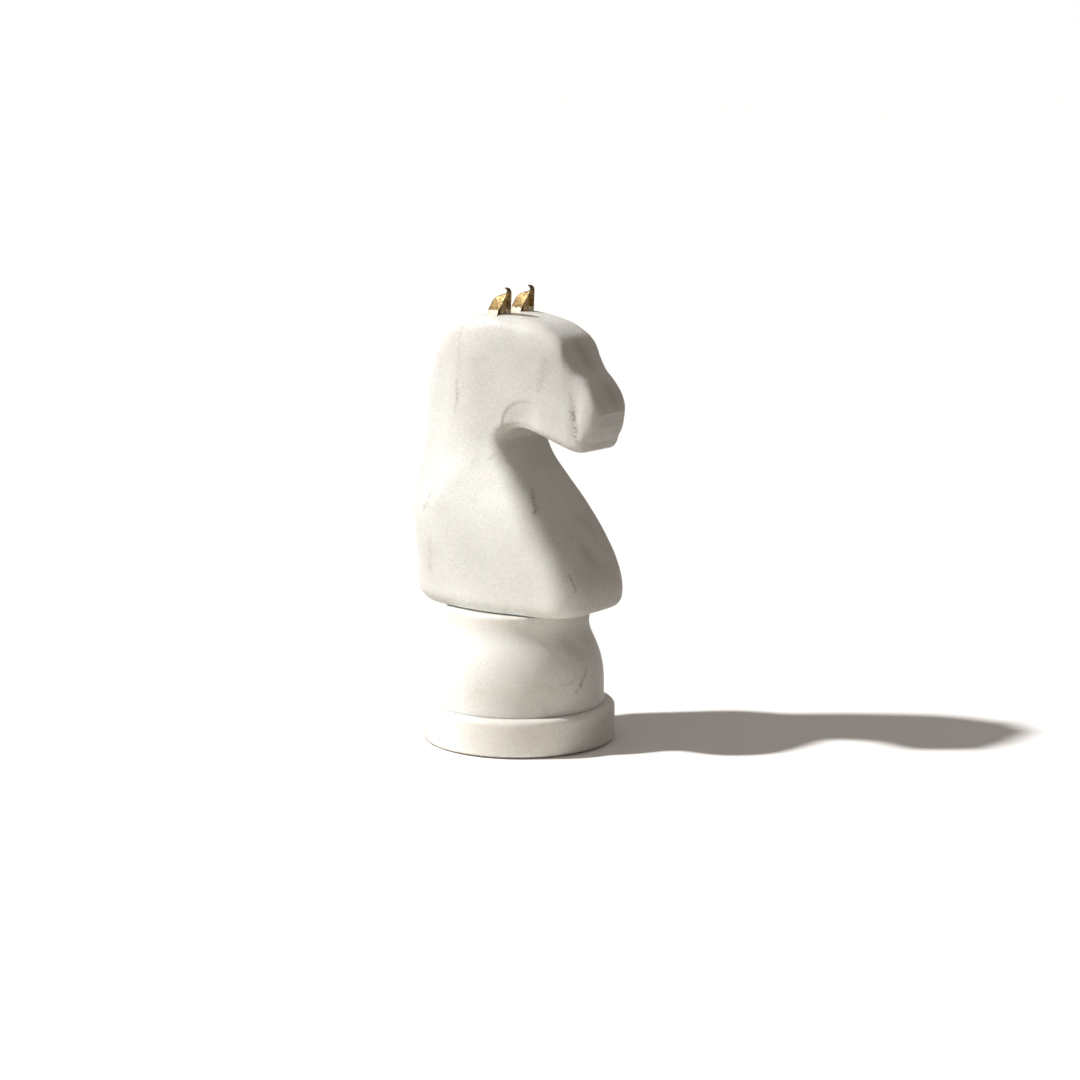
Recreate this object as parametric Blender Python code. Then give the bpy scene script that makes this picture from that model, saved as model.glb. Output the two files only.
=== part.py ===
"""Chess knight sculpture, 400 mm tall: a carved marble horse bust on a turned marble stem and plinth, with two cast
brass ears, pinned and drawn together by a threaded rod.

Metres, +Z up. The horse looks along +X. The origin is the centre of the felt pad's underside, on the turning axis."""

import math

import bmesh
import bpy
import numpy as np

# Driving dimensions
HEIGHT = 0.4000
PLINTH_RADIUS = 0.0850
PLINTH_TOP = 0.0335
PLINTH_TOP_EDGE = 0.0050
PLINTH_FOOT_EDGE = 0.0025
STEM_TOP = 0.1197
BUST_UNDERSIDE = 0.1200
EAR_X = -0.0115
EAR_SPACING = 0.0358
EAR_SEAT = 0.3736

GAP = 0.0003
PAD_THICKNESS = 0.0015
PAD_RADIUS = 0.0822
ROD_RADIUS = 0.0050
ROD_BORE_RADIUS = 0.0060
ROD_BOTTOM = 0.0050
ROD_TOP = 0.1650
SLEEVE_RADIUS = 0.0080
SLEEVE_LENGTH = 0.0500
NUT_POCKET_RADIUS = 0.0150
NUT_POCKET_DEPTH = 0.0160
WASHER_RADIUS = 0.0125
WASHER_THICKNESS = 0.0025
SPRING_WASHER_RADIUS = 0.0090
SPRING_WASHER_THICKNESS = 0.0022
NUT_ACROSS_FLATS = 0.0170
NUT_HEIGHT = 0.0070
DOWEL_RADIUS = 0.0040
DOWEL_LENGTH = 0.0300
BUST_DOWEL_X = 0.0360
PLINTH_DOWEL_Y = 0.0450
STUD_RADIUS = 0.0020
STUD_LENGTH = 0.0240
STUD_IN_EAR = 0.0090
ROUND_STEPS = 56
SMALL_ROUND_STEPS = 20

# Outline of the stem above its foot, radius and height.
STEM_CURVE = (
    (0.0752, 0.0420),
    (0.0752, 0.0560),
    (0.0743, 0.0660),
    (0.0727, 0.0740),
    (0.0698, 0.0830),
    (0.0664, 0.0910),
    (0.0634, 0.0985),
    (0.0622, 0.1050),
    (0.0625, 0.1110),
    (0.0636, 0.1175),
)

# The bust is a stack of cuts from the underside up the neck, round the throat and down the nose. Each row is one cut:
# back x, z and front x, z of its ends; half widths at the mane, the shoulder ridge and the front edge; where the
# ridge lies along the cut, from 0 at the back to 1 at the front; and how far each of the three edges is rounded.
CUTS = (
    (-0.0670, 0.1200, 0.0725, 0.1200, 0.0330, 0.0470, 0.0405, 0.42, 0.020, 0.020, 0.0230),
    (-0.0765, 0.1225, 0.0808, 0.1216, 0.0380, 0.0525, 0.0452, 0.43, 0.022, 0.020, 0.0240),
    (-0.0838, 0.1290, 0.0855, 0.1268, 0.0410, 0.0570, 0.0476, 0.43, 0.022, 0.020, 0.0250),
    (-0.0872, 0.1430, 0.0866, 0.1410, 0.0420, 0.0590, 0.0490, 0.41, 0.022, 0.020, 0.0260),
    (-0.0882, 0.1630, 0.0790, 0.1620, 0.0415, 0.0604, 0.0520, 0.33, 0.022, 0.020, 0.0270),
    (-0.0890, 0.1870, 0.0641, 0.1850, 0.0400, 0.0604, 0.0546, 0.23, 0.020, 0.018, 0.0270),
    (-0.0900, 0.2110, 0.0454, 0.2100, 0.0365, 0.0566, 0.0530, 0.19, 0.020, 0.017, 0.0240),
    (-0.0900, 0.2350, 0.0280, 0.2330, 0.0305, 0.0500, 0.0472, 0.32, 0.020, 0.020, 0.0200),
    (-0.0895, 0.2570, 0.0138, 0.2530, 0.0250, 0.0452, 0.0422, 0.50, 0.020, 0.022, 0.0160),
    (-0.0890, 0.2780, 0.0075, 0.2685, 0.0220, 0.0435, 0.0402, 0.56, 0.020, 0.022, 0.0130),
    (-0.0885, 0.3000, 0.0100, 0.2765, 0.0215, 0.0430, 0.0400, 0.57, 0.020, 0.022, 0.0120),
    (-0.0845, 0.3250, 0.0176, 0.2805, 0.0220, 0.0425, 0.0395, 0.51, 0.020, 0.022, 0.0120),
    (-0.0700, 0.3500, 0.0256, 0.2812, 0.0260, 0.0415, 0.0392, 0.38, 0.018, 0.020, 0.0120),
    (-0.0450, 0.3702, 0.0336, 0.2801, 0.0312, 0.0403, 0.0388, 0.22, 0.012, 0.018, 0.0110),
    (-0.0130, 0.3770, 0.0424, 0.2771, 0.0320, 0.0388, 0.0380, 0.15, 0.011, 0.014, 0.0110),
    (0.0190, 0.3750, 0.0515, 0.2732, 0.0285, 0.0362, 0.0366, 0.13, 0.010, 0.013, 0.0110),
    (0.0460, 0.3671, 0.0604, 0.2693, 0.0252, 0.0332, 0.0354, 0.12, 0.009, 0.012, 0.0110),
    (0.0608, 0.3560, 0.0682, 0.2662, 0.0234, 0.0306, 0.0344, 0.11, 0.007, 0.011, 0.0110),
    (0.0672, 0.3430, 0.0740, 0.2641, 0.0226, 0.0294, 0.0336, 0.11, 0.006, 0.010, 0.0110),
    (0.0746, 0.3320, 0.0790, 0.2631, 0.0222, 0.0282, 0.0322, 0.12, 0.006, 0.010, 0.0110),
    (0.0842, 0.3225, 0.0828, 0.2636, 0.0228, 0.0276, 0.0306, 0.14, 0.006, 0.010, 0.0120),
    (0.0912, 0.3130, 0.0856, 0.2672, 0.0230, 0.0266, 0.0284, 0.18, 0.006, 0.009, 0.0130),
    (0.0953, 0.3040, 0.0897, 0.2738, 0.0220, 0.0244, 0.0254, 0.26, 0.006, 0.008, 0.0130),
    (0.0976, 0.2965, 0.0948, 0.2838, 0.0180, 0.0192, 0.0196, 0.40, 0.005, 0.006, 0.0090),
)
CUT_STEPS = 3
EDGE_STEPS = 4

# An ear is a folded leaf, open towards the face and curling back at its tip. Each row is one cut through it: x and z of
# the fold at the rear and of the two rims in front, measured from the seat; half widths at the rims and at the fold;
# and how deep the hollow between the rims is.
EAR_CUTS = (
    (-0.0070, 0.0000, 0.0088, 0.0000, 0.0109, 0.0038, 0.0034),
    (-0.0072, 0.0040, 0.0090, 0.0040, 0.0108, 0.0036, 0.0040),
    (-0.0064, 0.0080, 0.0099, 0.0080, 0.0095, 0.0032, 0.0050),
    (-0.0043, 0.0115, 0.0108, 0.0115, 0.0081, 0.0027, 0.0054),
    (-0.0018, 0.0146, 0.0119, 0.0148, 0.0067, 0.0022, 0.0050),
    (0.0018, 0.0174, 0.0129, 0.0180, 0.0053, 0.0018, 0.0040),
    (0.0070, 0.0197, 0.0138, 0.0208, 0.0040, 0.0014, 0.0026),
    (0.0109, 0.0214, 0.0143, 0.0230, 0.0029, 0.0011, 0.0013),
    (0.0118, 0.0230, 0.0140, 0.0248, 0.0021, 0.0009, 0.0006),
    (0.0112, 0.0243, 0.0128, 0.0260, 0.0015, 0.0008, 0.0004),
    (0.0096, 0.0256, 0.0102, 0.0264, 0.0010, 0.0006, 0.0003),
)


def clear_scene():
    for obj in list(bpy.data.objects):
        bpy.data.objects.remove(obj)


def material(name, colour, roughness, metallic):
    mat = bpy.data.materials.new(name)
    mat.use_nodes = True
    shader = mat.node_tree.nodes["Principled BSDF"]
    shader.inputs["Base Color"].default_value = (*colour, 1.0)
    shader.inputs["Roughness"].default_value = roughness
    shader.inputs["Metallic"].default_value = metallic
    mat.diffuse_color = (*colour, 1.0)
    return mat


def finish_mesh(name, bm, mat, smooth_angle):
    bmesh.ops.recalc_face_normals(bm, faces=bm.faces)
    mesh = bpy.data.meshes.new(name)
    bm.to_mesh(mesh)
    bm.free()
    if mat is not None:
        mesh.materials.append(mat)
    mesh.shade_smooth()
    mesh.set_sharp_from_angle(angle=math.radians(smooth_angle))
    obj = bpy.data.objects.new(name, mesh)
    bpy.context.scene.collection.objects.link(obj)
    return obj


def skin_rings(name, rings, mat, smooth_angle=30):
    """A closed solid through rings of points, all with the same count, with its two ends filled."""
    bm = bmesh.new()
    loops = [[bm.verts.new(tuple(p)) for p in ring] for ring in rings]
    count = len(loops[0])
    for low, high in zip(loops, loops[1:]):
        for i in range(count):
            j = (i + 1) % count
            bm.faces.new((low[i], low[j], high[j], high[i]))
    bm.faces.new(list(reversed(loops[0])))
    bm.faces.new(loops[-1])
    return finish_mesh(name, bm, mat, smooth_angle)


def lathe(name, profile, mat, steps=ROUND_STEPS, centre=(0.0, 0.0)):
    """A solid turned about a vertical axis from (radius, z) points. A profile that starts and ends on the axis is a
    solid bar; any other is taken as a closed outline and gives a ring."""
    bm = bmesh.new()
    points = [bm.verts.new((centre[0] + r, centre[1], z)) for r, z in profile]
    pairs = list(zip(points, points[1:]))
    if profile[0][0] > 0:
        pairs.append((points[-1], points[0]))
    edges = [bm.edges.new(pair) for pair in pairs]
    bmesh.ops.spin(
        bm,
        geom=points + edges,
        cent=(*centre, 0),
        axis=(0, 0, 1),
        angle=2 * math.pi,
        steps=steps,
        use_merge=True,
    )
    bmesh.ops.remove_doubles(bm, verts=bm.verts, dist=1e-6)
    return finish_mesh(name, bm, mat, 30)


def bar(radius, bottom, top, chamfer):
    """Profile of a round bar with chamfered ends."""
    return [
        (0, bottom),
        (radius - chamfer, bottom),
        (radius, bottom + chamfer),
        (radius, top - chamfer),
        (radius - chamfer, top),
        (0, top),
    ]


def ring(inner, outer, bottom, top, chamfer):
    """Profile of a flat or tall ring with its outer edges chamfered."""
    return [
        (inner, bottom),
        (outer - chamfer, bottom),
        (outer, bottom + chamfer),
        (outer, top - chamfer),
        (outer - chamfer, top),
        (inner, top),
    ]


def fillet(centre, radius, start, end, steps):
    """Points of an arc in a turned profile, with angles in degrees from +radius towards +Z."""
    angles = np.radians(np.linspace(start, end, steps + 1))
    return [(centre[0] + radius * math.cos(a), centre[1] + radius * math.sin(a)) for a in angles]


def cut_away(obj, cutters):
    """Take the cutters out of the object and remove them."""
    for cutter in cutters:
        cutter.hide_render = True
        cutter.display_type = "WIRE"
        modifier = obj.modifiers.new("cut", "BOOLEAN")
        modifier.operation = "DIFFERENCE"
        modifier.solver = "EXACT"
        modifier.object = cutter
    evaluated = obj.evaluated_get(bpy.context.evaluated_depsgraph_get())
    mesh = bpy.data.meshes.new_from_object(evaluated)
    obj.modifiers.clear()
    obj.data = mesh
    mesh.name = obj.name
    mesh.set_sharp_from_angle(angle=math.radians(30))
    for cutter in cutters:
        bpy.data.objects.remove(cutter)


def hole(radius, bottom, top, centre):
    return lathe("hole", [(0, bottom), (radius, bottom), (radius, top), (0, top)], None, SMALL_ROUND_STEPS, centre)


def through_points(rows, steps):
    """Rows of numbers joined by a smooth curve that passes through each of them."""
    rows = np.array(rows, float)
    gaps = np.linalg.norm(np.diff(rows[:, :4], axis=0), axis=1)
    at = np.concatenate([[0], np.cumsum(gaps)])
    slopes = np.gradient(rows, at, axis=0)
    out = []
    for i, gap in enumerate(gaps):
        for t in np.linspace(0, 1, steps, endpoint=False):
            a = (1 + 2 * t) * (1 - t) ** 2
            b = t * (1 - t) ** 2
            c = t * t * (3 - 2 * t)
            d = t * t * (t - 1)
            out.append(a * rows[i] + b * gap * slopes[i] + c * rows[i + 1] + d * gap * slopes[i + 1])
    out.append(rows[-1])
    return np.array(out)


def rounded_outline(corners, cuts, steps):
    """A closed polygon with each corner replaced by a smooth turn that starts the given distance from it."""
    corners = np.array(corners, float)
    out = []
    for i, corner in enumerate(corners):
        before = corners[i - 1] - corner
        after = corners[(i + 1) % len(corners)] - corner
        start = corner + before * min(cuts[i] / np.linalg.norm(before), 0.48)
        end = corner + after * min(cuts[i] / np.linalg.norm(after), 0.48)
        for t in np.linspace(0, 1, steps + 1):
            out.append((1 - t) ** 2 * start + 2 * t * (1 - t) * corner + t * t * end)
    return np.array(out)


def bust_ring(row):
    back = np.array([row[0], 0, row[1]])
    front = np.array([row[2], 0, row[3]])
    mane, ridge, face, share, mane_cut, ridge_cut, face_cut = row[4:]
    length = np.linalg.norm(front - back)
    along = (front - back) / length
    half = [(0.0, mane), (share * length, ridge), (length, face)]
    corners = [(u, -y) for u, y in half] + [(u, y) for u, y in reversed(half)]
    cuts = [mane_cut, ridge_cut, face_cut, face_cut, ridge_cut, mane_cut]
    flat = rounded_outline(corners, cuts, EDGE_STEPS)
    return [back + along * u + np.array([0, y, 0]) for u, y in flat]


def bust(mat):
    obj = skin_rings("bust", [bust_ring(row) for row in through_points(CUTS, CUT_STEPS)], mat)
    below = BUST_UNDERSIDE - 0.005
    cutters = [hole(SLEEVE_RADIUS + GAP, below, BUST_UNDERSIDE + SLEEVE_LENGTH + 0.003, (0, 0))]
    for x in (-BUST_DOWEL_X, BUST_DOWEL_X):
        cutters.append(hole(DOWEL_RADIUS + GAP, below, BUST_UNDERSIDE + DOWEL_LENGTH / 2 + GAP, (x, 0)))
    for y in (-EAR_SPACING / 2, EAR_SPACING / 2):
        bottom = EAR_SEAT + STUD_IN_EAR - STUD_LENGTH - 2 * GAP
        cutters.append(hole(STUD_RADIUS + GAP, bottom, HEIGHT, (EAR_X, y)))
        cutters.append(ear_pocket(y))
    cut_away(obj, cutters)
    return obj


def stem(mat):
    bottom = PLINTH_TOP + GAP
    foot = bottom + 0.0015
    side = through_points([(r, z, 0, 0) for r, z in STEM_CURVE], 2)
    profile = [(ROD_BORE_RADIUS, bottom)]
    profile += fillet((STEM_CURVE[0][0] - 0.0015, foot), 0.0015, -90, 0, 3)
    profile += [(row[0], row[1]) for row in side]
    profile += fillet((STEM_CURVE[-1][0] - 0.0012, STEM_TOP - 0.0012), 0.0012, 0, 90, 3)
    profile += [(ROD_BORE_RADIUS, STEM_TOP)]
    obj = lathe("stem", profile, mat)
    depth = DOWEL_LENGTH / 2 + GAP
    cutters = [
        hole(DOWEL_RADIUS + GAP, STEM_TOP - depth, STEM_TOP + 0.005, (x, 0)) for x in (-BUST_DOWEL_X, BUST_DOWEL_X)
    ]
    cutters += [
        hole(DOWEL_RADIUS + GAP, bottom - 0.005, bottom + depth, (0, y)) for y in (-PLINTH_DOWEL_Y, PLINTH_DOWEL_Y)
    ]
    cut_away(obj, cutters)
    return obj


def plinth(mat):
    bottom = PAD_THICKNESS + GAP
    profile = [
        (ROD_BORE_RADIUS, bottom + NUT_POCKET_DEPTH),
        (NUT_POCKET_RADIUS, bottom + NUT_POCKET_DEPTH),
        (NUT_POCKET_RADIUS, bottom),
    ]
    foot = PLINTH_FOOT_EDGE
    profile += fillet((PLINTH_RADIUS - foot, bottom + foot), foot, -90, 0, 3)
    edge = PLINTH_TOP_EDGE
    profile += fillet((PLINTH_RADIUS - edge, PLINTH_TOP - edge), edge, 0, 90, 5)
    profile += [(ROD_BORE_RADIUS, PLINTH_TOP)]
    obj = lathe("plinth", profile, mat)
    depth = DOWEL_LENGTH / 2 + GAP
    cut_away(
        obj,
        [
            hole(DOWEL_RADIUS + GAP, PLINTH_TOP - depth, PLINTH_TOP + 0.005, (0, y))
            for y in (-PLINTH_DOWEL_Y, PLINTH_DOWEL_Y)
        ],
    )
    return obj


def ear_ring(row, y):
    rear = np.array([row[0], 0, row[1]])
    rim = np.array([row[2], 0, row[3]])
    length = np.linalg.norm(rim - rear)
    along = (rim - rear) / length
    wide, narrow, hollow = row[4:]
    corners = [(0, -narrow), (length, -wide), (length - hollow, 0), (length, wide), (0, narrow)]
    cuts = [1.1 * narrow, 0.3 * wide, 0.6 * wide, 0.3 * wide, 1.1 * narrow]
    flat = rounded_outline(corners, cuts, 2)
    seat = np.array([EAR_X, y, EAR_SEAT])
    return [seat + rear + along * u + np.array([0, v, 0]) for u, v in flat]


def ear(name, y, mat):
    obj = skin_rings(name, [ear_ring(row, y) for row in through_points(EAR_CUTS, 2)], mat)
    cut_away(obj, [hole(STUD_RADIUS + GAP, EAR_SEAT - 0.005, EAR_SEAT + STUD_IN_EAR + GAP, (EAR_X, y))])
    return obj


def ear_pocket(y):
    """The recess an ear stands in: the outline of its foot, grown by the clearance."""
    foot = np.array(ear_ring(EAR_CUTS[1], y))
    along = np.roll(foot, -1, axis=0) - np.roll(foot, 1, axis=0)
    out = np.stack([along[:, 1], -along[:, 0], np.zeros(len(foot))], axis=1)
    foot += out / np.linalg.norm(out, axis=1)[:, None] * 1.5 * GAP
    rings = []
    for z in (EAR_SEAT - GAP, EAR_SEAT + 0.010):
        ring = foot.copy()
        ring[:, 2] = z
        rings.append(ring)
    return skin_rings("pocket", rings, None)


def hardware(steel, brass):
    lathe("tie_rod", bar(ROD_RADIUS, ROD_BOTTOM, ROD_TOP, 0.0008), steel, SMALL_ROUND_STEPS)
    low = BUST_UNDERSIDE + 2 * GAP
    sleeve = ring(ROD_RADIUS + GAP, SLEEVE_RADIUS, low, low + SLEEVE_LENGTH, 0.0008)
    lathe("rod_sleeve", sleeve, brass, SMALL_ROUND_STEPS)
    top = PAD_THICKNESS + NUT_POCKET_DEPTH
    lathe("washer", ring(ROD_RADIUS + GAP, WASHER_RADIUS, top - WASHER_THICKNESS, top, 0.0003), steel, 32)
    top -= WASHER_THICKNESS + GAP
    spring = ring(ROD_RADIUS + GAP, SPRING_WASHER_RADIUS, top - SPRING_WASHER_THICKNESS, top, 0.0002)
    lathe("spring_washer", spring, steel, SMALL_ROUND_STEPS)
    top -= SPRING_WASHER_THICKNESS + GAP
    nut("nut", top - NUT_HEIGHT, top, steel)
    for name, x in (("rear", -BUST_DOWEL_X), ("front", BUST_DOWEL_X)):
        middle = (STEM_TOP + BUST_UNDERSIDE) / 2
        profile = bar(DOWEL_RADIUS, middle - DOWEL_LENGTH / 2, middle + DOWEL_LENGTH / 2, 0.0006)
        lathe("bust_dowel_" + name, profile, steel, 20, (x, 0))
    for name, y in (("right", -PLINTH_DOWEL_Y), ("left", PLINTH_DOWEL_Y)):
        middle = PLINTH_TOP + GAP / 2
        profile = bar(DOWEL_RADIUS, middle - DOWEL_LENGTH / 2, middle + DOWEL_LENGTH / 2, 0.0006)
        lathe("plinth_dowel_" + name, profile, steel, 20, (0, y))


def nut(name, bottom, top, mat):
    """A hexagon nut with a plain bore and chamfered corners."""
    corner = NUT_ACROSS_FLATS / math.sqrt(3)
    rings = []
    for radius, z in ((0.93, bottom), (1.0, bottom + 0.0006), (1.0, top - 0.0006), (0.93, top)):
        angles = [math.tau * i / 6 for i in range(6)]
        rings.append([(radius * corner * math.cos(a), radius * corner * math.sin(a), z) for a in angles])
    obj = skin_rings(name, rings, mat, 20)
    cut_away(obj, [hole(ROD_RADIUS + GAP, bottom - 0.005, top + 0.005, (0, 0))])
    return obj


def build():
    clear_scene()
    marble = material("marble", (0.80, 0.79, 0.76), 0.45, 0.0)
    cast_brass = material("cast_brass", (0.52, 0.36, 0.15), 0.38, 1.0)
    steel = material("zinc_steel", (0.58, 0.58, 0.57), 0.35, 1.0)
    turned_brass = material("turned_brass", (0.70, 0.55, 0.28), 0.30, 1.0)
    felt = material("felt", (0.05, 0.05, 0.05), 0.95, 0.0)
    bust(marble)
    stem(marble)
    plinth(marble)
    for name, y in (("right", -EAR_SPACING / 2), ("left", EAR_SPACING / 2)):
        ear("ear_" + name, y, cast_brass)
        low = EAR_SEAT + STUD_IN_EAR - STUD_LENGTH
        lathe("ear_stud_" + name, bar(STUD_RADIUS, low, low + STUD_LENGTH, 0.0003), turned_brass, 16, (EAR_X, y))
    hardware(steel, turned_brass)
    lathe("felt_pad", [(0, 0), (PAD_RADIUS, 0), (PAD_RADIUS, PAD_THICKNESS), (0, PAD_THICKNESS)], felt)


build()
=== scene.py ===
"""Looks for the chess knight: fine marble, cast brass ears, fittings, felt, and a plain bright studio."""

import math

import bmesh
import bpy
import numpy as np
from bpy.props import FloatProperty, FloatVectorProperty, IntProperty, PointerProperty
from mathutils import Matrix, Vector, kdtree, noise


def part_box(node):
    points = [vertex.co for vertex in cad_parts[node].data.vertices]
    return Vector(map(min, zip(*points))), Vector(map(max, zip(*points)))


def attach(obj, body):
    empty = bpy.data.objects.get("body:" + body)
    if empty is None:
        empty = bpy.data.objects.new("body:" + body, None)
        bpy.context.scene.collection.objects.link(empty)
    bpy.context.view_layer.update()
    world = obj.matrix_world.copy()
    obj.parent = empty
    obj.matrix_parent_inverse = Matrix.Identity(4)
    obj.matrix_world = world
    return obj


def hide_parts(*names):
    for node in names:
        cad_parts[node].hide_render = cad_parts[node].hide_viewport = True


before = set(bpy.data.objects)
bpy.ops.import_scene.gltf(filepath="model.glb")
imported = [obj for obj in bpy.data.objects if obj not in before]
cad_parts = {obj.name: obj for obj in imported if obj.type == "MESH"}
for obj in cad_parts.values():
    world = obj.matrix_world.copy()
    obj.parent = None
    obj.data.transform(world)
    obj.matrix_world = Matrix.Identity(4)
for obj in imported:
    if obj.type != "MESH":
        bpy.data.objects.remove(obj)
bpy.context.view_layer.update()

bl_info = {
    "name": "Marble Chess Knight",
    "version": (1, 0, 0),
    "blender": (4, 5, 0),
    "location": "3D View > Sidebar > Knight",
    "description": "Builds a carved marble chess knight with brass ears around its packed frame",
    "category": "Object",
}

# Lowest and highest corners of the frame's blocks, which set where the finer pieces go.
PLINTH_LOW, PLINTH_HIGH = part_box("plinth")
STEM_LOW, STEM_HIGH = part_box("stem")
BUST_LOW, BUST_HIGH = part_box("bust")
PAD_LOW, PAD_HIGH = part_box("felt_pad")
EAR_LOW, EAR_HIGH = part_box("ear_right")
ROD_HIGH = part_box("tie_rod")[1]
# Play left round a fitting, and how far stem and plinth reach past their blocks to close the joints.
FIT = 0.00015
TAKE_UP = 0.0002
# Play all round the rod, and the radius of the pocket that the nut and washers sit in.
BORE_PLAY = 0.0010
NUT_POCKET = 0.0150

DOWELS = ("bust_dowel_front", "bust_dowel_rear", "plinth_dowel_right", "plinth_dowel_left")

# The bust as a stack of cuts from the underside up the neck, round the throat and down the nose.
# Each row is one cut: back x, z and front x, z of its ends; half widths at the mane, the shoulder ridge
# and the front edge; where the ridge lies along the cut, from 0 at the back to 1 at the front; and how
# far each of the three edges is rounded.
CUTS = (
    (-0.0670, 0.1200, 0.0725, 0.1200, 0.0330, 0.0470, 0.0405, 0.42, 0.020, 0.020, 0.0230),
    (-0.0765, 0.1225, 0.0808, 0.1216, 0.0380, 0.0525, 0.0452, 0.43, 0.022, 0.020, 0.0240),
    (-0.0838, 0.1290, 0.0855, 0.1268, 0.0410, 0.0570, 0.0476, 0.43, 0.022, 0.020, 0.0250),
    (-0.0872, 0.1430, 0.0866, 0.1410, 0.0420, 0.0590, 0.0490, 0.41, 0.022, 0.020, 0.0260),
    (-0.0882, 0.1630, 0.0790, 0.1620, 0.0415, 0.0604, 0.0520, 0.33, 0.022, 0.020, 0.0270),
    (-0.0890, 0.1870, 0.0641, 0.1850, 0.0400, 0.0604, 0.0546, 0.23, 0.020, 0.018, 0.0270),
    (-0.0900, 0.2110, 0.0454, 0.2100, 0.0365, 0.0566, 0.0530, 0.19, 0.020, 0.017, 0.0240),
    (-0.0900, 0.2350, 0.0280, 0.2330, 0.0305, 0.0500, 0.0472, 0.32, 0.020, 0.020, 0.0200),
    (-0.0895, 0.2570, 0.0138, 0.2530, 0.0250, 0.0452, 0.0422, 0.50, 0.020, 0.022, 0.0160),
    (-0.0890, 0.2780, 0.0075, 0.2685, 0.0220, 0.0435, 0.0402, 0.56, 0.020, 0.022, 0.0130),
    (-0.0885, 0.3000, 0.0100, 0.2765, 0.0215, 0.0430, 0.0400, 0.57, 0.020, 0.022, 0.0120),
    (-0.0845, 0.3250, 0.0176, 0.2805, 0.0220, 0.0425, 0.0395, 0.51, 0.020, 0.022, 0.0120),
    (-0.0700, 0.3500, 0.0256, 0.2812, 0.0260, 0.0415, 0.0392, 0.38, 0.018, 0.020, 0.0120),
    (-0.0450, 0.3702, 0.0336, 0.2801, 0.0312, 0.0403, 0.0388, 0.22, 0.012, 0.018, 0.0110),
    (-0.0130, 0.3770, 0.0424, 0.2771, 0.0320, 0.0388, 0.0380, 0.15, 0.011, 0.014, 0.0110),
    (0.0190, 0.3750, 0.0515, 0.2732, 0.0285, 0.0362, 0.0366, 0.13, 0.010, 0.013, 0.0110),
    (0.0460, 0.3671, 0.0604, 0.2693, 0.0264, 0.0332, 0.0354, 0.12, 0.009, 0.012, 0.0110),
    (0.0608, 0.3560, 0.0682, 0.2662, 0.0258, 0.0306, 0.0344, 0.11, 0.007, 0.011, 0.0110),
    (0.0672, 0.3430, 0.0740, 0.2641, 0.0252, 0.0294, 0.0336, 0.11, 0.006, 0.010, 0.0110),
    (0.0746, 0.3320, 0.0790, 0.2631, 0.0238, 0.0282, 0.0322, 0.12, 0.006, 0.010, 0.0110),
    (0.0842, 0.3225, 0.0828, 0.2636, 0.0228, 0.0276, 0.0306, 0.14, 0.006, 0.010, 0.0120),
    (0.0912, 0.3130, 0.0856, 0.2672, 0.0230, 0.0266, 0.0284, 0.18, 0.006, 0.009, 0.0130),
    (0.0953, 0.3040, 0.0897, 0.2738, 0.0220, 0.0244, 0.0254, 0.26, 0.006, 0.008, 0.0130),
    (0.0976, 0.2965, 0.0948, 0.2838, 0.0180, 0.0192, 0.0196, 0.40, 0.005, 0.006, 0.0090),
)
CUT_STEPS = 10
TURN_STEPS = 12
FELT_STEPS = 160
# Extra points along the mane, the back of a side, its front, and the face of each cut.
MANE_SPAN, BACK_SPAN, FRONT_SPAN, FACE_SPAN = 6, 14, 44, 16

# An ear is a folded leaf, open towards the face and curling back at its tip. Each row is one cut
# through it: x and z of the fold at the rear and of the two rims in front, measured from the seat; half
# widths at the rims and at the fold; and how deep the hollow between the rims is.
EAR_CUTS = (
    (-0.0070, 0.0000, 0.0088, 0.0000, 0.0109, 0.0038, 0.0034),
    (-0.0072, 0.0040, 0.0090, 0.0040, 0.0108, 0.0036, 0.0040),
    (-0.0064, 0.0080, 0.0099, 0.0080, 0.0095, 0.0032, 0.0050),
    (-0.0045, 0.0115, 0.0108, 0.0115, 0.0081, 0.0027, 0.0054),
    (-0.0026, 0.0149, 0.0119, 0.0148, 0.0067, 0.0022, 0.0050),
    (0.0008, 0.0179, 0.0129, 0.0180, 0.0053, 0.0018, 0.0040),
    (0.0064, 0.0202, 0.0138, 0.0208, 0.0040, 0.0014, 0.0026),
    (0.0109, 0.0214, 0.0143, 0.0230, 0.0029, 0.0011, 0.0013),
    (0.0118, 0.0230, 0.0140, 0.0248, 0.0021, 0.0009, 0.0006),
    (0.0112, 0.0243, 0.0128, 0.0260, 0.0015, 0.0008, 0.0004),
    (0.0096, 0.0256, 0.0102, 0.0264, 0.0010, 0.0006, 0.0003),
)
EAR_X = -0.0115
EAR_STEPS = 8
EAR_TURN_STEPS = 5
# Extra points on each side of an ear's cut, from its right flank round by the hollow to the fold.
EAR_SPANS = (10, 3, 6, 6, 3, 10, 5)
# What counts as hollow: this share of its depth and of the half width; towards the right flank past the
# third value, the hollow gets painted shade, the shadow inside the right rim.
HOLLOW_DEPTH, HOLLOW_WIDTH, RIM_SHADE_SIDE = 1.02, 0.93, -0.32
# Below the tip, the darkening starts at the first and is full at the second; above the foot, the painted
# highlight is full up to the first and gone at the second.
TIP_DARKENING = (0.0075, 0.0035)
FOOT_HIGHLIGHT = (0.0074, 0.0092)

# Places carved into the head, x and z: the scoop over the throat with its radius, and the mouth's corner
# with its half length and half height.
SCOOP_CENTRE, SCOOP_RADIUS = (0.031, 0.2840), 0.0225
MOUTH_CENTRE, MOUTH_HALF = (0.0880, 0.2680), (0.0022, 0.0060)

# Outline of the stem, radius and height.
STEM_CURVE = (
    (0.0752, 0.0420),
    (0.0752, 0.0560),
    (0.0743, 0.0660),
    (0.0727, 0.0740),
    (0.0698, 0.0830),
    (0.0664, 0.0910),
    (0.0634, 0.0985),
    (0.0622, 0.1050),
    (0.0625, 0.1110),
    (0.0636, 0.1175),
)

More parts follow.
